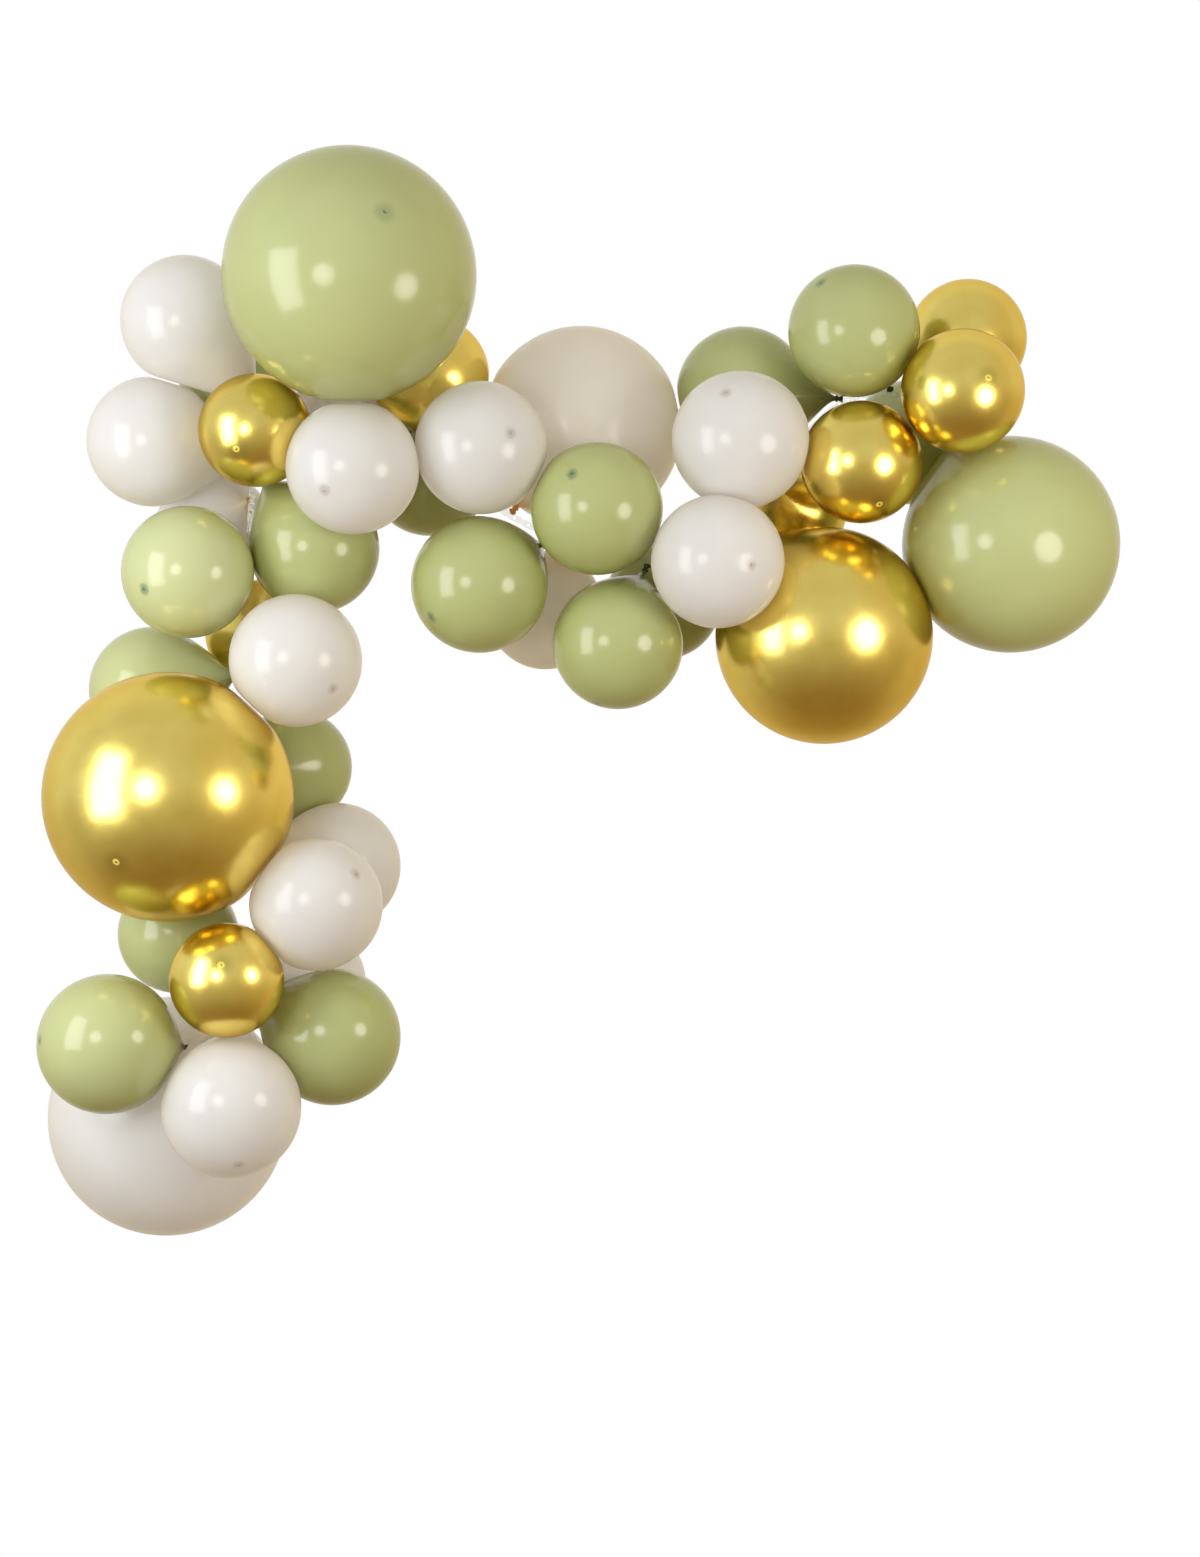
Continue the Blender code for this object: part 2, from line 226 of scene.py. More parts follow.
# Colours (linear): skin, skin painted paler for stronger light, painted rim shade where the skin is seen
# edge-on, skin with light behind it, neck and crown spot, and how strongly the spot shows.
GREEN_LOOK = (
    (0.53, 0.58, 0.255), (0.69, 0.74, 0.41), (0.33, 0.31, 0.00), (0.60, 0.55, 0.02),
    (0.075, 0.080, 0.015), (0.17, 0.26, 0.16), 0.80,
)
WHITE_LOOK = (
    (0.92, 0.925, 0.965), (0.95, 0.95, 0.95), (0.86, 0.73, 0.52), (0.96, 0.92, 0.88),
    (0.86, 0.70, 0.50), (0.46, 0.37, 0.33), 0.60,
)
# The cream's neck colour is a deep orange: partly its thicker latex, partly painted light, the gold's
# reflection glowing through it.
CREAM_LOOK = (
    (1.0, 0.99, 1.0), (1.0, 0.99, 1.0), (1.0, 0.77, 0.48), (1.0, 0.95, 0.87),
    (1.0, 0.60, 0.22), (0.42, 0.32, 0.25), 0.60,
)

# The rim where the skin is seen edge-on, painted with a warm shade that stands in for shade and bounced light
# (on the green partly its dye, seen through more skin): the blend of the facing, where it begins, and the
# share of the painted rim colour.
RIM_SHADE_BLEND = 0.35
RIM_SHADE_START = 0.15
RIM_SHADE_SHARE = 0.60

# How late down the shoulder the colour of the neck sets in, as a power of the way.
NECK_POWER = 2.6

# Chrome look: its two streaked colours, the darker shade painted at its rim with its share and the metal's
# tint there, the neck, and round the crown a dull halo, a bright ring and a core, each by its distances from
# the middle.
GOLD_ROUGHNESS = 0.24
GOLD_DARKER, GOLD_LIGHTER = (0.91, 0.71, 0.17), (0.97, 0.77, 0.21)
GOLD_RIM_SHADE, GOLD_RIM_SHADE_SHARE = (0.60, 0.44, 0.10), 0.65
GOLD_EDGE_TINT = (0.80, 0.66, 0.42)
GOLD_NECK = (0.42, 0.20, 0.03)
GOLD_HALO, HALO = (0.50, 0.44, 0.08), (0.006, 0.029)
GOLD_RING, RING_BEGINS, RING_ENDS = (1.0, 0.80, 0.15), (0.0015, 0.003), (0.005, 0.0075)
GOLD_CORE, CORE = (0.60, 0.45, 0.08), (0.0012, 0.0024)

# Noise of the materials, each as scale (per metre) and detail, and the height of the latex's grain.
BLOTCHES = (11, 3)
CLOUDS = (34, 4)
RAGS = (260, 2)
GRAIN = (650, 3)
STREAKS = (16, 4)
CHROME_CLOUDS = (46, 4)
PLASTIC_HAZE = (60, 3)
PLASTIC_SCUFFS = (90, 4)
PLASTIC_RIPPLES = (240, 2)
FLOOR_TONES = (1.2, 3)
SKIN_GRAIN = 0.00001

# Balloons painted paler than the others of their colour, standing in for the stronger light on them, and by
# how much.
LIT_PALENESS = {
    "green_balloon_left": 0.8,
    "green_balloon_leg_left": 0.5,
    "green_balloon_foot_left": 0.35,
    "green_balloon_leg_low": 0.2,
    "green_balloon_corner_giant": 0.25,
    "green_balloon_end_large": 0.2,
}

# The photograph's view: its frame, the scale at the strip, and where the strip's corner shows in it.
PHOTO_WIDTH, PHOTO_HEIGHT = 1200, 1557
METRES_PER_PIXEL = 0.0018
CORNER_PIXEL = (298, 390)
CAMERA_DISTANCE = 5.0
SENSOR = 36.0

# Lights: name, place, the point it faces, power, colour, width and, for a rectangle, height.
LIGHTS = [
    ("tall_softbox", (-1.75, -1.60, -0.30), (0.2, -0.1, -0.4), 36, (0.96, 0.99, 1.0), 1.1, 2.0),
    ("left_lamp", (-0.76, -3.00, -0.33), (0.4, 0.0, -0.5), 16, (1.0, 0.98, 0.96), 0.96),
    ("right_lamp", (2.17, -1.57, -0.50), (0.6, -0.1, -0.5), 17, (1.0, 0.95, 0.88), 0.96),
]
FLOOR_HEIGHT = -2.6
FLOOR_RADIUS = 1.7
FLOOR_SIDES = 96

# Light of the surroundings along each axis, from -1 to 1.
ROOM_TO_WALL = [
    (-1, (0.52, 0.53, 0.54)), (-0.1, (0.58, 0.59, 0.60)), (0.4, (0.74, 0.74, 0.74)), (1, (0.9, 0.89, 0.88)),
]
FLOOR_TO_CEILING = [
    (-1, (0.38, 0.25, 0.11)), (-0.3, (0.73, 0.66, 0.51)), (0.2, (0.98, 0.98, 0.97)), (1, (0.92, 0.90, 0.82)),
]
LEFT_TO_RIGHT = [(-1, (0.97, 1, 1.04)), (0, (1, 1, 0.99)), (1, (0.92, 0.80, 0.60))]
ROOM_STRENGTH = 1.22


def smooth_route(points, steps):
    """Points of the smooth curve through these, with this many steps from each one to the next."""
    ends = [2 * points[0] - points[1], *points, 2 * points[-1] - points[-2]]
    route = []
    for before, here, there, after in zip(ends, ends[1:], ends[2:], ends[3:]):
        for step in range(steps):
            t = step / steps
            line = 2 * here + (there - before) * t
            bend = (2 * before - 5 * here + 4 * there - after) * t**2
            twist = (3 * here - before - 3 * there + after) * t**3
            route.append(0.5 * (line + bend + twist))
    return [*route, points[-1]]


def place_along(route, station):
    """The point at this distance along the route. Past its end, the last stretch goes straight on."""
    left = station
    for here, there in zip(route, route[1:]):
        stretch = (there - here).length
        if left <= stretch or there is route[-1]:
            return here + (there - here) * (left / stretch)
        left -= stretch


def strip_reach(route, station, lean):
    """How far the strip reaches this way from a tie, over twice the width of the lip that ends there."""
    tie = place_along(route, station)
    reach = 0
    for spot in (station - 2 * LIP_RADIUS, station, station + 2 * LIP_RADIUS):
        here = place_along(route, spot)
        along = place_along(route, spot + LIP_RADIUS) - here
        across = along.cross(INTO_WALL).normalized() * STRIP_WIDTH / 2
        for edge in (here + across - tie, here - across - tie):
            reach = max(reach, edge.dot(lean), (edge - INTO_WALL * STRIP_THICKNESS).dot(lean))
    return reach


def leaning(bearing, lift):
    across = cos(radians(lift))
    return Vector((across * cos(radians(bearing)), -sin(radians(lift)), across * sin(radians(bearing))))


def camera_place():
    across = (PHOTO_WIDTH / 2 - CORNER_PIXEL[0]) * METRES_PER_PIXEL
    down = (PHOTO_HEIGHT / 2 - CORNER_PIXEL[1]) * METRES_PER_PIXEL
    return Vector((across, -CAMERA_DISTANCE, -down))


def seen_through(pixel):
    """The way from the camera through a pixel of the photograph."""
    across = (pixel[0] - PHOTO_WIDTH / 2) * METRES_PER_PIXEL
    down = (pixel[1] - PHOTO_HEIGHT / 2) * METRES_PER_PIXEL
    return Vector((across, CAMERA_DISTANCE, -down)).normalized()


def between(low, high, value):
    """0 at low, 1 at high, and a smooth curve from one to the other."""
    share = min(max((value - low) / (high - low), 0), 1)
    return share * share * (3 - 2 * share)


class Balloon:
    """One balloon: its centre, the way its crown points, and the outline that is turned round it."""

    def __init__(self, route, node, diameter, station, bearing, lift, neck):
        self.node = node
        self.colour = node.split("_")[0]
        self.radius = diameter / 2
        self.big = diameter > BIG
        self.body_angle = pi / 2 + asin(self.radius / (self.radius + neck))
        self.lean = leaning(bearing, lift)
        self.turn = self.lean.to_track_quat("Z", "Y")
        self.centre = place_along(route, station) + self.lean * (self.radius + neck)
        self.tip = self.radius + neck - strip_reach(route, station, self.lean) - LIP_TO_STRIP

    def axis_point(self, distance):
        """A point on the balloon's own axis, this far from its centre towards the knot."""
        return self.centre - self.lean * distance

    def shoulder(self, count):
        """(radius, height) of rings from the round body down to the knot, without either end."""
        angle = self.body_angle
        start = Vector((self.radius * sin(angle), self.radius * cos(angle)))
        knot = Vector((KNOT_RADIUS, LIP_LENGTH - self.tip))
        run = (knot - start).length
        leave = start + Vector((cos(angle), -sin(angle))) * LEAVES_BODY * run
        arrive = knot + Vector((0, 1)) * MEETS_NECK * run
        rings = []
        for ring in range(1, count):
            t = ring / count
            s = 1 - t
            rings.append(start * s**3 + leave * 3 * s * s * t + arrive * 3 * s * t * t + knot * t**3)
        return rings

    def outline(self):
        """Rings from crown to lip, each (radius, height, share of the way down the shoulder to the knot)."""
        body_rings, shoulder_rings, _ = FINE_SKIN if self.big else COARSE_SKIN
        rings = []
        for ring in range(1, body_rings + 1):
            angle = self.body_angle * (ring / body_rings) ** CLOSER_AT_CROWN
            rings.append((self.radius * sin(angle), self.radius * cos(angle), 0.0))
        for ring, (radius, height) in enumerate(self.shoulder(shoulder_rings), 1):
            rings.append((radius, height, ring / shoulder_rings))
        for radius, down in TAIL:
            rings.append((radius, LIP_LENGTH - self.tip - down, 1.0 + down))
        return rings

    def crown_point(self):
        """The middle of the thick spot, from the centre: where the photograph shows it, or else the crown."""
        if self.node not in CROWN_SEEN:
            return self.lean * self.radius
        eye = camera_place()
        sight = seen_through(CROWN_SEEN[self.node])
        nearest = (self.centre - eye).dot(sight)
        aside = (self.centre - eye - sight * nearest).length
        into = sqrt(max(self.radius**2 - aside**2, 0))
        return eye + sight * (nearest - into) - self.centre

    def bulges(self):
        """Balls that fill the balloon, (centre, radius): its body, and the largest at each shoulder ring."""
        balls = [(self.centre, self.radius)]
        for ring in self.shoulder(BALL_STEPS):
            balls.append((self.axis_point(-ring.y), self.skin_distance(Vector((0, ring.y)))))
        return balls

    def skin_distance(self, spot):
        """How far a spot (radius, height) is from the shoulder and the neck."""
        knot = Vector((KNOT_RADIUS, LIP_LENGTH - self.tip))
        tail = [knot, Vector((LIP_RADIUS, -self.tip)), Vector((0, -self.tip))]
        outline = [*self.shoulder(SKIN_STEPS), *tail]
        gaps = []
        for upper, lower in zip(outline, outline[1:]):
            share = intersect_point_line(spot, upper, lower)[1]
            gaps.append((upper.lerp(lower, min(max(share, 0), 1)) - spot).length)
        return min(gaps)


def clear_of(point, radius, balloon):
    """Whether a ball here stays clear of the balloon's skin."""
    away = point - balloon.centre
    height = away.dot(balloon.lean)
    spot = Vector(((away - balloon.lean * height).length, height))
    clearance = radius + TOUCH_GAP
    return away.length > balloon.radius + clearance and balloon.skin_distance(spot) > clearance


def draw_in_necks(balloons):
    """Each neck ends before it meets another balloon, or another neck tied beside it."""
    for balloon in balloons:
        others = [other for other in balloons if other is not balloon]
        shortest = balloon.radius + SHORTEST_NECK
        free = shortest
        while free < balloon.tip:
            ahead = balloon.axis_point(free + NECK_STEP)
            if not all(clear_of(ahead, LIP_RADIUS, other) for other in others):
                break
            free += NECK_STEP
        balloon.tip = min(free, balloon.tip)
    for one, other in itertools.combinations(balloons, 2):
        for _ in range(MOST_STEPS):
            apart = (one.axis_point(one.tip) - other.axis_point(other.tip)).length
            if apart > 2 * LIP_RADIUS + LIP_TO_STRIP:
                break
            one.tip -= NECK_STEP
            other.tip -= NECK_STEP


def contact_planes(balloons):
    """For each balloon, the planes (point, way out) where its neighbours press it flat."""
    planes = {balloon.node: [] for balloon in balloons}
    for one, other in itertools.combinations(balloons, 2):
        nearest = None
        for (start, near), (end, far) in itertools.product(one.bulges(), other.bulges()):
            apart = end - start
            gap = apart.length - near - far
            if nearest is None or gap < nearest[0]:
                nearest = (gap, start + apart.normalized() * (near + gap / 2), apart.normalized())
        gap, middle, way = nearest
        if gap < TOUCH_GAP:
            planes[one.node].append((middle - way * TOUCH_GAP / 2, way))
            planes[other.node].append((middle + way * TOUCH_GAP / 2, -way))
    return planes


def pressed(point, planes):
    """The point, held back by each plane, with a soft edge round the flat."""
    for _ in range(PRESS_ROUNDS):
        for place, way in planes:
            depth = (point - place).dot(way)
            if depth > -PRESS_REACH * PRESS_ROUNDING:
                held = -PRESS_ROUNDING * log1p(exp(-depth / PRESS_ROUNDING))
                point = point + way * (held - depth)
    return point


def skin_mesh(balloon, planes, phase):
    """The skin round the balloon's centre, with what its material reads: crown, neck and the painted light
    that makes it paler.
    """
    sides = (FINE_SKIN if balloon.big else COARSE_SKIN)[2]
    rings = balloon.outline()
    points, neck = [], []

    def add(local, share):
        place = pressed(balloon.centre + balloon.turn @ Vector(local), planes)
        points.append(place - balloon.centre)
        neck.append(share)

    add((0, 0, balloon.radius), 0.0)
    for radius, height, share in rings:
        pleats = PLEAT_DEPTH * between(*PLEATS_GROW, share) * (1 - between(*PLEATS_FADE, share))
        flutter = LIP_FLUTTER * between(*WAVES_GROW, share)
        for side in range(sides):
            angle = 2 * pi * side / sides
            fold = cos(PLEATS * angle + phase) + 0.5 * cos((PLEATS - 4) * angle - 2 * phase)
            out = radius * (1 + pleats * fold) + flutter * cos(3 * angle + phase) / 2
            drop = flutter * cos(2 * angle - phase)
            add((out * cos(angle), out * sin(angle), height + drop), share)
    add((0, 0, rings[-1][1]), rings[-1][2])

    last = len(points) - 1
    faces = [(0, 1 + side, 1 + (side + 1) % sides) for side in range(sides)]
    for ring in range(len(rings) - 1):
        upper, lower = 1 + ring * sides, 1 + (ring + 1) * sides
        for side in range(sides):
            after = (side + 1) % sides
            faces.append((upper + side, lower + side, lower + after, upper + after))
    lowest = 1 + (len(rings) - 1) * sides
    faces += [(last, lowest + (side + 1) % sides, lowest + side) for side in range(sides)]

    mesh = bpy.data.meshes.new(balloon.node + "_skin")
    mesh.from_pydata(points, [], faces)
    mesh.attributes.new("neck_share", "FLOAT", "POINT").data.foreach_set("value", neck)
    size, strength = BIG_CROWN if balloon.big else (1.0, 1.0)
    # How much paler the skin is painted, standing in for stronger light on this balloon.
    lit_paleness = LIT_PALENESS.get(balloon.node, 0.0)
    for name, value in (("lit_paleness", lit_paleness), ("crown_size", size), ("crown_strength", strength)):
        mesh.attributes.new(name, "FLOAT", "POINT").data.foreach_set("value", [value] * len(points))
    crown = mesh.attributes.new("crown_point", "FLOAT_VECTOR", "POINT")
    crown.data.foreach_set("vector", [*balloon.crown_point()] * len(points))
    mesh.shade_smooth()
    return mesh


def strip_mesh(route):
    """The strip as on the frame, with a row of punched holes, its faces turned to the wall so that it can be
    thickened towards the room.
    """
    count = len(route) - 1
    edges = []
    for spot in range(count + 1):
        along = route[min(spot + 1, count)] - route[max(spot - 1, 0)]
        edges.append(INTO_WALL.cross(along).normalized() * STRIP_WIDTH / 2)
    work = bmesh.new()
    for spot in range(count):
        start, end = route[spot], route[spot + 1]
        length = (end - start).length
        for cell in range(HOLES_PER_FACE):
            low, high = cell / HOLES_PER_FACE, (cell + 1) / HOLES_PER_FACE
            middle, half = (low + high) / 2, (high - low) / 2
            inner, outer = [], []
            for corner in range(HOLE_SIDES):
                angle = 2 * pi * (corner + 0.5) / HOLE_SIDES
                forward, sideways = cos(angle), sin(angle)
                square = max(abs(forward), abs(sideways))
                hole = (middle + HOLE_RADIUS * forward / length, 2 * HOLE_RADIUS * sideways / STRIP_WIDTH)
                rim = (middle + half * forward / square, sideways / square)
                for ring, (share, side) in ((inner, hole), (outer, rim)):
                    edge = edges[spot].lerp(edges[spot + 1], share)
                    ring.append(work.verts.new(start.lerp(end, share) + edge * side))
            for corner in range(HOLE_SIDES):
                after = (corner + 1) % HOLE_SIDES
                work.faces.new((inner[corner], outer[corner], outer[after], inner[after]))
    bmesh.ops.remove_doubles(work, verts=work.verts, dist=0.00002)
    for face in work.faces:
        face.normal_update()
        if face.normal.dot(INTO_WALL) < 0:
            face.normal_flip()
    mesh = bpy.data.meshes.new("strip_with_holes")
    work.to_mesh(mesh)
    work.free()
    return mesh


class Shader:
    """A material's node tree, with short ways to add and join its nodes."""

    def __init__(self, name, roughness, metallic=0.0):
        self.material = bpy.data.materials.new(name)
        self.material.use_nodes = True
        self.tree = self.material.node_tree
        self.surface = self.tree.nodes["Principled BSDF"]
        self.surface.inputs["Metallic"].default_value = metallic
        self.surface.inputs["Roughness"].default_value = roughness

    def node(self, kind, **settings):
        node = self.tree.nodes.new(kind)
        for name, value in settings.items():
            setattr(node, name, value)
        return node

    def join(self, source, socket):
        self.tree.links.new(source, socket)

    def attribute(self, name, output="Fac"):
        return self.node("ShaderNodeAttribute", attribute_name=name).outputs[output]

    def place(self):
        return self.node("ShaderNodeTexCoord").outputs["Object"]

    def crown_distance(self):
        node = self.node("ShaderNodeVectorMath", operation="DISTANCE")
        self.join(self.place(), node.inputs[0])
        self.join(self.attribute("crown_point", "Vector"), node.inputs[1])
        return node.outputs["Value"]

    def noise(self, scale, detail):
        texture = self.node("ShaderNodeTexNoise")
        texture.inputs["Scale"].default_value = scale
        texture.inputs["Detail"].default_value = detail
        self.join(self.place(), texture.inputs["Vector"])
        return texture.outputs["Fac"]

    def ranged(self, source, low, high, start, end, smooth=False):
        """The source's low to high turned into start to end."""
        node = self.node("ShaderNodeMapRange", interpolation_type="SMOOTHSTEP" if smooth else "LINEAR")
        self.join(source, node.inputs["Value"])
        for name, value in (("From Min", low), ("From Max", high), ("To Min", start), ("To Max", end)):
            node.inputs[name].default_value = value
        return node.outputs["Result"]

    def maths(self, operation, one, other):
        node = self.node("ShaderNodeMath", operation=operation)
        for socket, value in zip(node.inputs, (one, other)):
            if isinstance(value, (int, float)):
                socket.default_value = value
            else:
                self.join(value, socket)
        return node.outputs["Value"]

    def mixed(self, share, one, other):
        """Colour one where the share is 0, and the other where it is 1."""
        node = self.node("ShaderNodeMix", data_type="RGBA", clamp_factor=True)
        self.join(share, node.inputs["Factor"])
        for index, value in ((6, one), (7, other)):
            if isinstance(value, tuple):
                node.inputs[index].default_value = (*value, 1)
            else:
                self.join(value, node.inputs[index])
        return node.outputs[2]

    def set_rough(self, pattern, low, high):
        """Roughness from low to high over the middle of a noise pattern."""
        self.join(self.ranged(self.noise(*pattern), 0.3, 0.7, low, high), self.surface.inputs["Roughness"])

    def paint_rim_shade(self, colour, edge, share):
        """The colour, with this share of a painted rim shade where the skin is seen edge-on."""
        rim = self.node("ShaderNodeLayerWeight")
        rim.inputs["Blend"].default_value = RIM_SHADE_BLEND
        return self.mixed(self.ranged(rim.outputs["Facing"], RIM_SHADE_START, 1, 0, share), colour, edge)

    def thick_neck(self):
        """0 on the round body, and 1 from the knot on, where the skin isn't stretched."""
        return self.maths("POWER", self.maths("MINIMUM", self.attribute("neck_share"), 1.0), NECK_POWER)

    def bump(self, height, distance):
        """Bumps the surface by a height, given in shares of a distance."""
        node = self.node("ShaderNodeBump")
        node.inputs["Distance"].default_value = distance
        self.join(height, node.inputs["Height"])
        self.join(node.outputs["Normal"], self.surface.inputs["Normal"])

    def let_light_through(self, colour, share):
        """Mixes in a thin skin's own translucence, which brightens its shaded side."""
        thin = self.node("ShaderNodeBsdfTranslucent")
        self.join(colour, thin.inputs["Color"])
        mix = self.node("ShaderNodeMixShader")
        mix.inputs["Fac"].default_value = share
        self.join(self.surface.outputs["BSDF"], mix.inputs[1])
        self.join(thin.outputs["BSDF"], mix.inputs[2])
        self.join(mix.outputs["Shader"], self.tree.nodes["Material Output"].inputs["Surface"])

    def bump_with_crown(self, crown_distance):
        """The faint grain of latex, and the raised spot at the crown."""
        grain = self.ranged(self.noise(*GRAIN), 0, 1, 0, SKIN_GRAIN / CROWN_BUMP)
        raised = self.ranged(crown_distance, *CROWN_RAISED, 1, 0, smooth=True)
        self.bump(self.maths("ADD", grain, raised), CROWN_BUMP)


def latex(name, skin, pale, edge, glow, deep, crown, spot_share, roughness, softness):
    """Stretched latex with faint blotches, painted shade at its rim, deeper at its neck, and a thick spot at
    the crown.
    """
    shader = Shader(name, roughness)
    blotches = shader.noise(*BLOTCHES)
    darker = tuple(value * 0.95 for value in skin)
    colour = shader.mixed(shader.ranged(blotches, 0.35, 0.65, 0, 1), darker, skin)
    # Painted paler where stronger light falls, by this balloon's share.
    colour = shader.mixed(shader.attribute("lit_paleness"), colour, pale)
    # Painted warm shade at the rim, where the skin is seen edge-on.
    colour = shader.paint_rim_shade(colour, edge, RIM_SHADE_SHARE)
    thick = shader.thick_neck()
    colour = shader.mixed(thick, colour, deep)
    middle = shader.crown_distance()
    rags = shader.ranged(shader.noise(*RAGS), 0.25, 0.75, -CROWN_RAGGED, CROWN_RAGGED)
    ragged = shader.maths("ADD", middle, rags)
    away = shader.maths("DIVIDE", ragged, shader.attribute("crown_size"))
    spot = shader.ranged(away, *CROWN_SPOT, spot_share, 0, smooth=True)
    colour = shader.mixed(shader.maths("MULTIPLY", spot, shader.attribute("crown_strength")), colour, crown)
    core = shader.ranged(ragged, *CROWN_CORE, spot_share, 0, smooth=True)
    colour = shader.mixed(core, colour, tuple(value * 0.5 for value in crown))
    shader.join(colour, shader.surface.inputs["Base Color"])
    shader.let_light_through(shader.mixed(thick, glow, deep), softness)
    shader.set_rough(CLOUDS, roughness - 0.02, roughness + 0.04)
    shader.surface.inputs["IOR"].default_value = 1.55
    shader.bump_with_crown(middle)
    return shader.material


def chrome(name):
    """Chrome-look latex: metal pigment with slight streaks under a clear gloss, browner at the neck, with
    painted shade at its rim.
    """
    shader = Shader(name, GOLD_ROUGHNESS, metallic=1.0)
    streaks = shader.ranged(shader.noise(*STREAKS), 0.35, 0.65, 0, 1)
    colour = shader.mixed(streaks, GOLD_DARKER, GOLD_LIGHTER)
    # Painted darker shade at the rim, where the skin is seen edge-on.
    colour = shader.paint_rim_shade(colour, GOLD_RIM_SHADE, GOLD_RIM_SHADE_SHARE)
    thick = shader.thick_neck()
    colour = shader.mixed(thick, colour, GOLD_NECK)
    away = shader.crown_distance()
    colour = shader.mixed(shader.ranged(away, *HALO, 0.5, 0, smooth=True), colour, GOLD_HALO)
    begins, ends = shader.ranged(away, *RING_BEGINS, 0, 1), shader.ranged(away, *RING_ENDS, 1, 0)
    ring = shader.maths("MULTIPLY", begins, ends)
    colour = shader.mixed(ring, colour, GOLD_RING)
    colour = shader.mixed(shader.ranged(away, *CORE, 1, 0, smooth=True), colour, GOLD_CORE)
    shader.join(colour, shader.surface.inputs["Base Color"])
    shader.join(shader.ranged(ring, 0, 1, 1, 0.3), shader.surface.inputs["Metallic"])
    clouds = shader.noise(*CHROME_CLOUDS)
    rough = shader.ranged(clouds, 0.3, 0.7, GOLD_ROUGHNESS - 0.02, GOLD_ROUGHNESS + 0.03)
    rough = shader.maths("ADD", rough, shader.maths("MULTIPLY", thick, 0.2))
    shader.join(rough, shader.surface.inputs["Roughness"])
    shader.surface.inputs["Specular Tint"].default_value = (*GOLD_EDGE_TINT, 1)
    shader.surface.inputs["Coat Weight"].default_value = 0.15
    shader.surface.inputs["Coat Roughness"].default_value = 0.15
    shader.bump_with_crown(away)
    return shader.material


def clear_plastic(name):
    """Clear plastic film with a faint haze, scuffs and ripples."""
    shader = Shader(name, roughness=0.16)
    haze = shader.ranged(shader.noise(*PLASTIC_HAZE), 0.3, 0.7, 0, 1)
    colour = shader.mixed(haze, (0.90, 0.93, 0.91), (0.97, 0.98, 0.97))
    shader.join(colour, shader.surface.inputs["Base Color"])
    shader.surface.inputs["Transmission Weight"].default_value = 0.92
    shader.surface.inputs["IOR"].default_value = 1.46
    shader.set_rough(PLASTIC_SCUFFS, 0.10, 0.24)
    shader.bump(shader.noise(*PLASTIC_RIPPLES), distance=0.00004)
    return shader.material


def floor_material():
    shader = Shader("pale_floor", roughness=0.6)
    tone = shader.ranged(shader.noise(*FLOOR_TONES), 0.3, 0.7, 0, 1)
    colour = shader.mixed(tone, (0.80, 0.79, 0.77), (0.84, 0.83, 0.81))
    shader.join(colour, shader.surface.inputs["Base Color"])
    return shader.material


def add_floor():
    work = bmesh.new()
    bmesh.ops.create_circle(work, cap_ends=True, segments=FLOOR_SIDES, radius=FLOOR_RADIUS)
    mesh = bpy.data.meshes.new("floor")
    work.to_mesh(mesh)
    work.free()
    mesh.materials.append(floor_material())
    floor = bpy.data.objects.new("floor", mesh)
    floor.location = (camera_place().x, 0, FLOOR_HEIGHT)
    floor.visible_diffuse = floor.visible_glossy = False
    bpy.context.scene.collection.objects.link(floor)


def add_camera():
    data = bpy.data.cameras.new("camera")
    data.sensor_width = SENSOR
    data.lens = SENSOR * CAMERA_DISTANCE / METRES_PER_PIXEL / PHOTO_HEIGHT
    camera = bpy.data.objects.new("camera", data)
    camera.location = camera_place()
    camera.rotation_euler = (radians(90), 0, 0)
    bpy.context.scene.collection.objects.link(camera)
    bpy.context.scene.camera = camera


def add_light(name, place, aim, power, colour, width, height=None):
    data = bpy.data.lights.new(name, "AREA")
    data.shape = "RECTANGLE" if height else "DISK"
    data.size = width
    if height:
        data.size_y = height
    data.energy = power
    data.color = colour
    light = bpy.data.objects.new(name, data)
    light.location = place
    light.rotation_mode = "QUATERNION"
    light.rotation_quaternion = (Vector(aim) - Vector(place)).to_track_quat("-Z", "Y")
    bpy.context.scene.collection.objects.link(light)


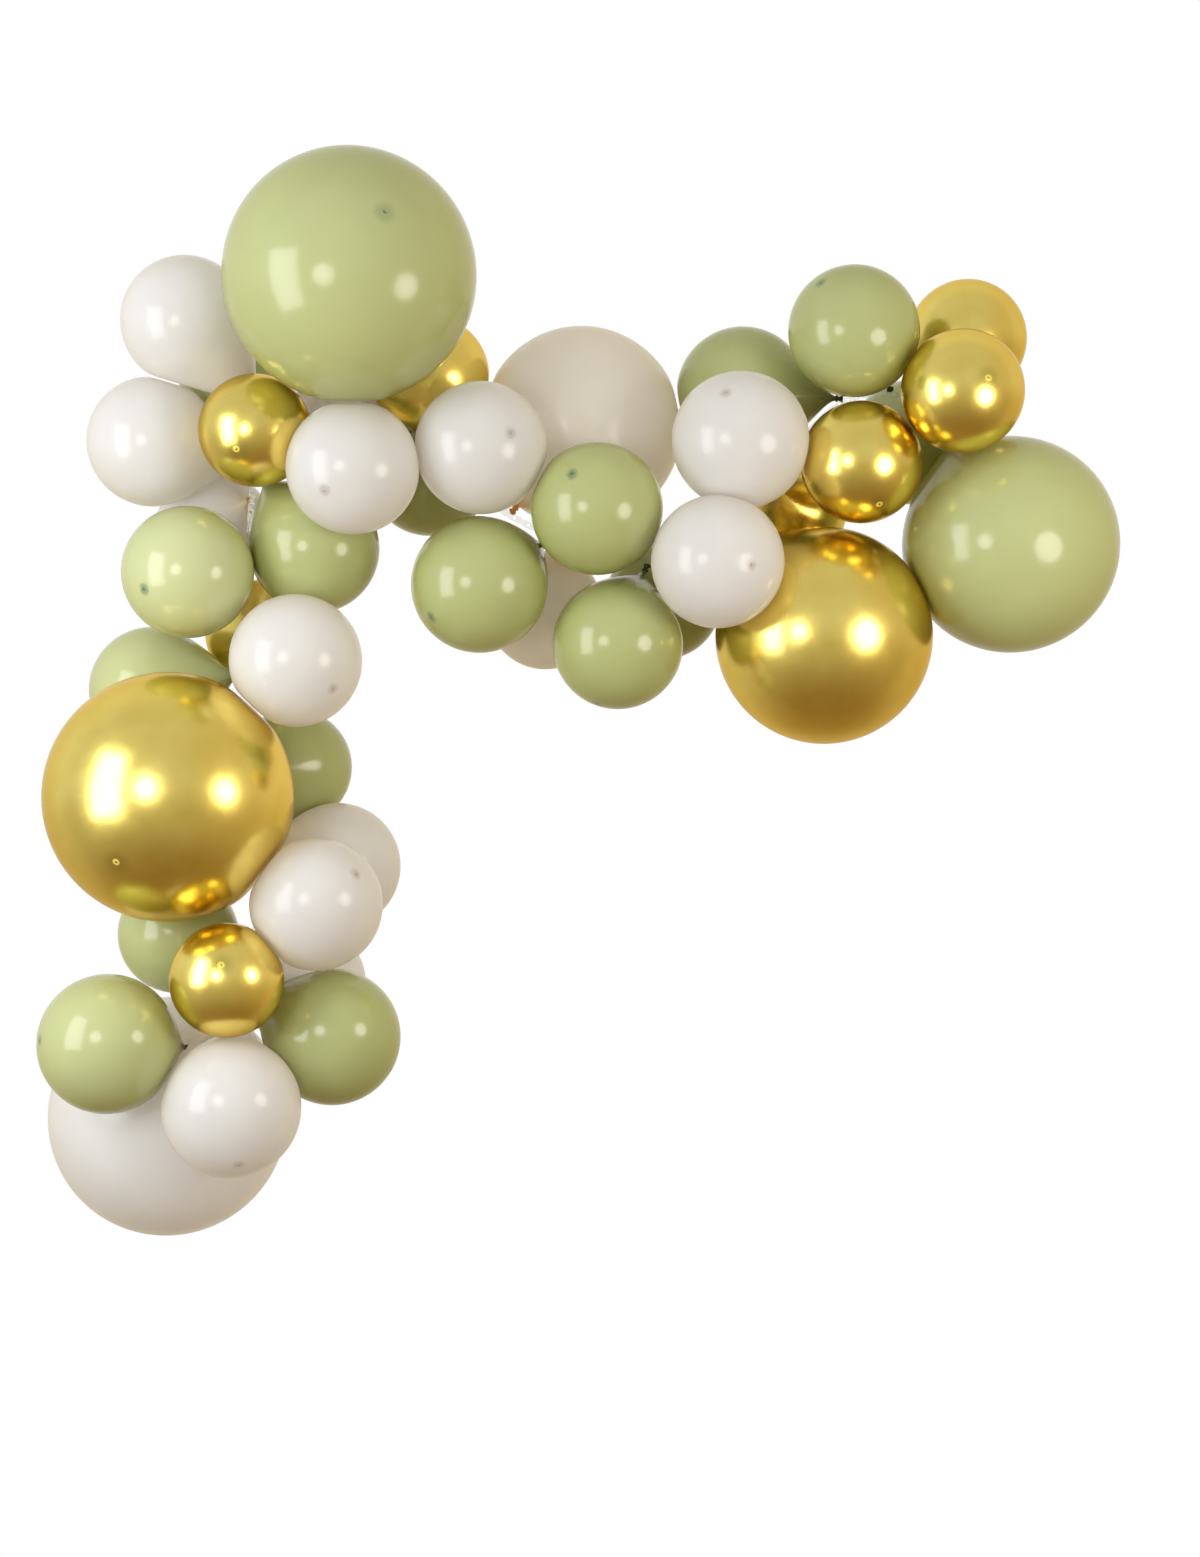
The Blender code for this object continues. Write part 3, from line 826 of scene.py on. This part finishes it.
def add_world():
    """White behind the object. As light, pale from the wall side and dimmer and warmer from the room."""
    world = bpy.data.worlds.new("studio")
    bpy.context.scene.world = world
    world.use_nodes = True
    nodes, links = world.node_tree.nodes, world.node_tree.links
    nodes.clear()
    way = nodes.new("ShaderNodeTexCoord")
    parts = nodes.new("ShaderNodeSeparateXYZ")
    links.new(way.outputs["Generated"], parts.inputs["Vector"])

    def ramp(source, stops):
        centred = nodes.new("ShaderNodeMapRange")
        centred.inputs["From Min"].default_value = -1
        links.new(source, centred.inputs["Value"])
        node = nodes.new("ShaderNodeValToRGB")
        node.color_ramp.interpolation = "EASE"
        while len(node.color_ramp.elements) < len(stops):
            node.color_ramp.elements.new(0.5)
        for element, (place, colour) in zip(node.color_ramp.elements, stops):
            element.position = (place + 1) / 2
            element.color = (*colour, 1)
        links.new(centred.outputs["Result"], node.inputs["Fac"])
        return node.outputs["Color"]

    depth = ramp(parts.outputs["Y"], ROOM_TO_WALL)
    height = ramp(parts.outputs["Z"], FLOOR_TO_CEILING)
    side = ramp(parts.outputs["X"], LEFT_TO_RIGHT)
    light = depth
    for other in (height, side):
        product = nodes.new("ShaderNodeMix")
        product.data_type = "RGBA"
        product.blend_type = "MULTIPLY"
        product.inputs["Factor"].default_value = 1
        links.new(light, product.inputs[6])
        links.new(other, product.inputs[7])
        light = product.outputs[2]
    room = nodes.new("ShaderNodeBackground")
    links.new(light, room.inputs["Color"])
    room.inputs["Strength"].default_value = ROOM_STRENGTH
    white = nodes.new("ShaderNodeBackground")
    white.inputs["Color"].default_value = (1, 1, 1, 1)
    seen = nodes.new("ShaderNodeLightPath")
    choice = nodes.new("ShaderNodeMixShader")
    links.new(seen.outputs["Is Camera Ray"], choice.inputs["Fac"])
    links.new(room.outputs["Background"], choice.inputs[1])
    links.new(white.outputs["Background"], choice.inputs[2])
    output = nodes.new("ShaderNodeOutputWorld")
    links.new(choice.outputs["Shader"], output.inputs["Surface"])


def add_piece(name, mesh, material, node, place):
    mesh.materials.append(material)
    piece = bpy.data.objects.new(name, mesh)
    piece.location = place
    bpy.context.scene.collection.objects.link(piece)
    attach(piece, "root")
    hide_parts(node)
    return piece


def main():
    skins = {
        "green": (latex("green_latex_skin", *GREEN_LOOK, roughness=0.16, softness=0.15), "green_latex"),
        "white": (latex("white_latex_skin", *WHITE_LOOK, roughness=0.18, softness=0.38), "white_latex"),
        "cream": (latex("cream_latex_skin", *CREAM_LOOK, roughness=0.20, softness=0.50), "cream_latex"),
        "gold": (chrome("chrome_gold_skin"), "chrome_gold"),
    }
    route = smooth_route([Vector(point) for point in STRIP_ROUTE], FACES_PER_ROUTE_POINT)
    balloons = [Balloon(route, *row) for row in BALLOONS]
    draw_in_necks(balloons)
    planes = contact_planes(balloons)
    for number, balloon in enumerate(balloons):
        material, slot = skins[balloon.colour]
        mesh = skin_mesh(balloon, planes[balloon.node], phase=2.4 * number)
        add_piece(balloon.node + "_skin", mesh, material, balloon.node, balloon.centre)
    film = clear_plastic("clear_plastic_skin")
    strip = add_piece(
        "strip_with_holes", strip_mesh(route), film,
        node="balloon_strip", place=(0, 0, 0),
    )
    thick = strip.modifiers.new("thickness", "SOLIDIFY")
    thick.thickness = STRIP_THICKNESS
    thick.offset = -1
    add_floor()
    add_camera()
    for light in LIGHTS:
        add_light(*light)
    add_world()
    bpy.context.scene.view_settings.view_transform = "Standard"


main()
